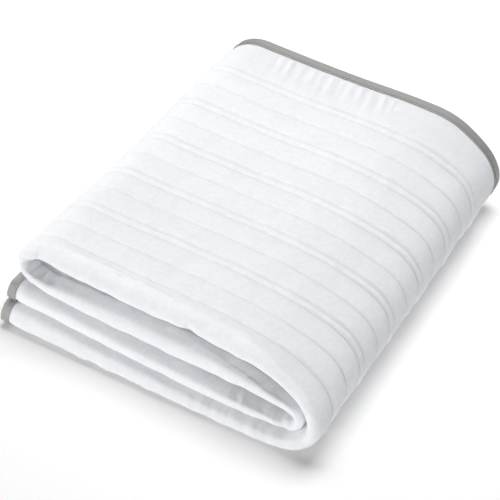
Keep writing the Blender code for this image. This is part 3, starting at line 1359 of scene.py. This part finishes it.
def new_effect(
    name: str, inputs: dict[str, float | None], outputs: tuple[str, ...]
) -> tuple[Wiring, bpy.types.bpy_prop_collection]:
    """An empty shader node group.

    Args:
        name: The group's name.
        inputs: Its inputs, with the default of a number and None for a place.
        outputs: Its outputs, which are all numbers.

    Returns:
        The group's wiring and what it is given.
    """
    tree = bpy.data.node_groups.new(name, "ShaderNodeTree")
    for label, value in inputs.items():
        kind = "NodeSocketVector" if value is None else "NodeSocketFloat"
        socket = tree.interface.new_socket(name=label, in_out="INPUT", socket_type=kind)
        if value is not None:
            socket.default_value = value
    for label in outputs:
        tree.interface.new_socket(name=label, in_out="OUTPUT", socket_type="NodeSocketFloat")
    wiring = Wiring(tree)
    return wiring, wiring.add("NodeGroupInput").outputs


@dataclass(frozen=True)
class Effects:
    """The shader node groups that the finishes share, each built once."""

    nap: NodeTree
    weave: NodeTree

    @staticmethod
    def build() -> "Effects":
        """Both groups, ready to be placed in materials."""
        return Effects(Effects.fibre_nap(), Effects.plain_weave())

    @staticmethod
    def fibre_nap() -> NodeTree:
        """Soft clumps and crossing fibres of a brushed or spun surface.

        Returns:
            The group, with a shade and a height round 0.5.
        """
        inputs = {"Place": None, "Clumps": 150.0, "Fibres": 900.0}
        wiring, given = new_effect("fibre_nap", inputs, ("Shade", "Height"))
        clumps = wiring.noise(given["Place"], given["Clumps"], detail=3.0)
        fibres = []
        for stretch in ((1.0, 0.25, 1.0), (0.25, 1.0, 1.0)):
            settings = {0: given["Place"], 1: stretch}
            stretched = wiring.add("ShaderNodeVectorMath", settings, operation="MULTIPLY")
            fibres.append(wiring.noise(stretched.outputs[0], given["Fibres"], detail=1.0))
        mean = wiring.math("MULTIPLY", wiring.math("ADD", *fibres), 0.5)
        shade = wiring.weighed(clumps, mean, share=0.6)
        height = wiring.weighed(clumps, mean, share=0.45)
        wiring.add("NodeGroupOutput", {"Shade": shade, "Height": height})
        return wiring.tree

    @staticmethod
    def plain_weave() -> NodeTree:
        """Threads that cross over and under each other.

        Returns:
            The group, with the threads' height and the gaps between them.
        """
        inputs = {"Place": None, "Warp": 900.0, "Weft": 900.0}
        wiring, given = new_effect("plain_weave", inputs, ("Height", "Gap"))
        parts = wiring.add("ShaderNodeSeparateXYZ", {0: given["Place"]})
        waves = []
        for number, count in enumerate(("Warp", "Weft")):
            turns = wiring.math("MULTIPLY", parts.outputs[number], given[count])
            waves.append(wiring.math("SINE", wiring.math("MULTIPLY", turns, math.pi)))
        over = wiring.math("MULTIPLY", *waves)
        threads = wiring.math("POWER", wiring.math("ABSOLUTE", over), 0.5)
        height = wiring.weighed(threads, over, share=0.7)
        gap = wiring.math("SUBTRACT", 1.0, threads)
        wiring.add("NodeGroupOutput", {"Height": height, "Gap": gap})
        return wiring.tree


def new_finish(
    name: str, settings: dict[str, Setting]
) -> tuple[Material, Wiring, Node]:
    """A material with a plain shader.

    Args:
        name: The material's name.
        settings: The values that are the same all over it.

    Returns:
        The material, its wiring and its shader.
    """
    material = bpy.data.materials.new(name)
    material.use_nodes = True
    wiring, shader = Wiring(material.node_tree), material.node_tree.nodes["Principled BSDF"]
    wiring.fill(shader, settings)
    return material, wiring, shader


@dataclass(frozen=True)
class ClothFinish:
    """White brushed cloth: soft clumps, crossing fibres, a fine knit and painted seam shade."""

    colour: tuple[float, ...] = (0.922, 0.929, 0.949, 1.0)
    hollow_colour: tuple[float, ...] = (0.835, 0.843, 0.868, 1.0)
    # painted shade: the colour the seams' grooves are darkened towards, and how far
    groove_shade_colour: tuple[float, ...] = (0.640, 0.648, 0.668, 1.0)
    groove_shade_share: float = 0.42
    clumps: float = 210.0
    fibres: float = 1300.0
    patches: float = 26.0
    knit: tuple[float, float] = (620.0, 800.0)
    roughness: tuple[float, float] = (0.80, 0.98)
    knit_share: float = 0.25
    shade: tuple[float, float] = (-0.8, 1.4)
    patch_shade: tuple[float, float] = (-0.45, 0.45)
    sheen: float = 0.05
    sheen_roughness: float = 0.6
    gloss: float = 0.25
    relief: float = 0.00050

    def material(self, effects: Effects) -> Material:
        """The finish as a material.

        Args:
            effects: The shared node groups.

        Returns:
            The material.
        """
        constant = {
            "Sheen Weight": self.sheen,
            "Sheen Roughness": self.sheen_roughness,
            "Specular IOR Level": self.gloss,
        }
        material, wiring, shader = new_finish("brushed_white_cloth", constant)
        place, lay = wiring.place(), wiring.lay()
        seam = wiring.add("ShaderNodeSeparateXYZ", {0: lay}).outputs[2]
        nap = wiring.effect(effects.nap, Place=place, Clumps=self.clumps, Fibres=self.fibres)
        patches = wiring.effect(
            effects.nap, Place=place, Clumps=self.patches, Fibres=self.patches * 3
        )
        warp, weft = self.knit
        knit = wiring.effect(effects.weave, Place=lay, Warp=warp, Weft=weft)
        shade = wiring.between(nap["Shade"], *self.shade)
        shade = wiring.math("ADD", shade, wiring.between(patches["Shade"], *self.patch_shade))
        colour = wiring.blend(shade, self.hollow_colour, self.colour)
        # painted shade darkens the seams' grooves, more on the large fold
        seam = wiring.math("MULTIPLY", seam, self.groove_shade_share)
        looks = {
            "Base Color": wiring.blend(seam, colour, self.groove_shade_colour),
            "Roughness": wiring.between(nap["Shade"], *self.roughness),
        }
        height = wiring.plus(nap["Height"], knit["Height"], self.knit_share)
        wiring.fill(shader, looks | {"Normal": wiring.bump(height, self.relief)})
        return material


@dataclass(frozen=True)
class TapeFinish:
    """Grey woven tape with a slight satin gloss and darker gaps between its threads."""

    colour: tuple[float, ...] = (0.305, 0.305, 0.295, 1.0)
    gap_colour: tuple[float, ...] = (0.195, 0.195, 0.188, 1.0)
    threads: tuple[float, float] = (1250.0, 830.0)
    clumps: float = 320.0
    fibres: float = 1600.0
    roughness: tuple[float, float] = (0.42, 0.60)
    gap_share: float = 0.55
    shade: tuple[float, float] = (-0.3, 0.5)
    nap_share: float = 0.5
    gloss: float = 1.0
    ior: float = 1.85
    relief: float = 0.00016

    def material(self, effects: Effects) -> Material:
        """The finish as a material.

        Args:
            effects: The shared node groups.

        Returns:
            The material.
        """
        constant = {"Specular IOR Level": self.gloss, "IOR": self.ior}
        material, wiring, shader = new_finish("grey_woven_tape", constant)
        place, lay = wiring.place(), wiring.lay()
        warp, weft = self.threads
        weave = wiring.effect(effects.weave, Place=lay, Warp=warp, Weft=weft)
        nap = wiring.effect(effects.nap, Place=place, Clumps=self.clumps, Fibres=self.fibres)
        gap = wiring.math("MULTIPLY", weave["Gap"], self.gap_share)
        share = wiring.math("ADD", gap, wiring.between(nap["Shade"], *self.shade))
        looks = {
            "Base Color": wiring.blend(share, self.colour, self.gap_colour),
            "Roughness": wiring.between(nap["Shade"], *self.roughness),
        }
        height = wiring.plus(weave["Height"], nap["Height"], self.nap_share)
        wiring.fill(shader, looks | {"Normal": wiring.bump(height, self.relief)})
        return material


@dataclass(frozen=True)
class ThreadFinish:
    """Twisted sewing thread in one colour."""

    name: str
    colour: tuple[float, ...]
    shaded: tuple[float, ...]
    twist: float = 2600.0
    roughness: float = 0.55
    relief: float = 0.00005

    def material(self, effects: Effects) -> Material:
        """The finish as a material.

        Args:
            effects: The shared node groups.

        Returns:
            The material.
        """
        material, wiring, shader = new_finish(self.name, {"Roughness": self.roughness})
        twist = wiring.effect(effects.weave, Place=wiring.lay(), Warp=self.twist, Weft=self.twist)
        colour = wiring.blend(twist["Gap"], self.colour, self.shaded)
        normal = wiring.bump(twist["Height"], self.relief)
        wiring.fill(shader, {"Base Color": colour, "Normal": normal})
        return material


@dataclass(frozen=True)
class FloorFinish:
    """Pale matt studio floor with a faint glow."""

    colour: tuple[float, ...] = (0.95, 0.95, 0.95, 1.0)
    glow: float = 0.13
    roughness: tuple[float, float] = (0.85, 0.95)

    def material(self, effects: Effects) -> Material:
        """The finish as a material.

        Args:
            effects: The shared node groups.

        Returns:
            The material.
        """
        glow = {"Emission Color": WHITE, "Emission Strength": self.glow}
        material, wiring, shader = new_finish("pale_floor", {"Base Color": self.colour, **glow})
        nap = wiring.effect(effects.nap, Place=wiring.place())
        wiring.fill(shader, {"Roughness": wiring.between(nap["Shade"], *self.roughness)})
        return material


def main() -> None:
    """Builds and dresses the blanket and sets the studio round it."""
    logging.basicConfig(level=logging.INFO, format="%(name)s: %(message)s")
    bpy.context.scene.view_settings.view_transform = "Standard"
    strip, effects = Strip(), Effects.build()
    white, grey = ClothFinish().material(effects), TapeFinish().material(effects)
    threads = (
        ThreadFinish("white_thread", (0.86, 0.865, 0.87, 1.0), (0.62, 0.625, 0.635, 1.0)),
        ThreadFinish("grey_thread", (0.100, 0.100, 0.097, 1.0), (0.050, 0.050, 0.048, 1.0)),
    )
    quilt = QuiltedCloth(strip)
    cloth = quilt.build(white)
    binding = TapeBinding(strip, grey)
    tapes = {
        "binding_back_outer": binding.along_back("tape_back_outer", Ply.OUTER),
        "binding_back_inner": binding.along_back("tape_back_inner", Ply.INNER),
        "binding_end_bottom": binding.over_end("tape_end_bottom", End.LAYER_FOUR),
        "binding_end_inner": binding.over_end("tape_end_inner", End.LAYER_THREE),
    }
    sewing = Sewing(strip, quilt, binding, *(thread.material(effects) for thread in threads))
    quilting, edging, end_edging = sewing.quilting(), sewing.edging(), sewing.end_edging()
    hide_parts("blanket")
    for node, tape in tapes.items():
        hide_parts(node)
    sewn_on = [*tapes.values(), quilting, edging, end_edging]
    for piece in (cloth, *sewn_on):
        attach(piece, BODY)
        triangles = sum(len(face.vertices) - 2 for face in piece.data.polygons)
        LOG.info("%s: %d triangles", piece.name, triangles)
    studio = Studio()
    studio.camera()
    studio.light([cloth, *sewn_on], studio.floor(FloorFinish().material(effects)))


if __name__ == "__main__":
    main()
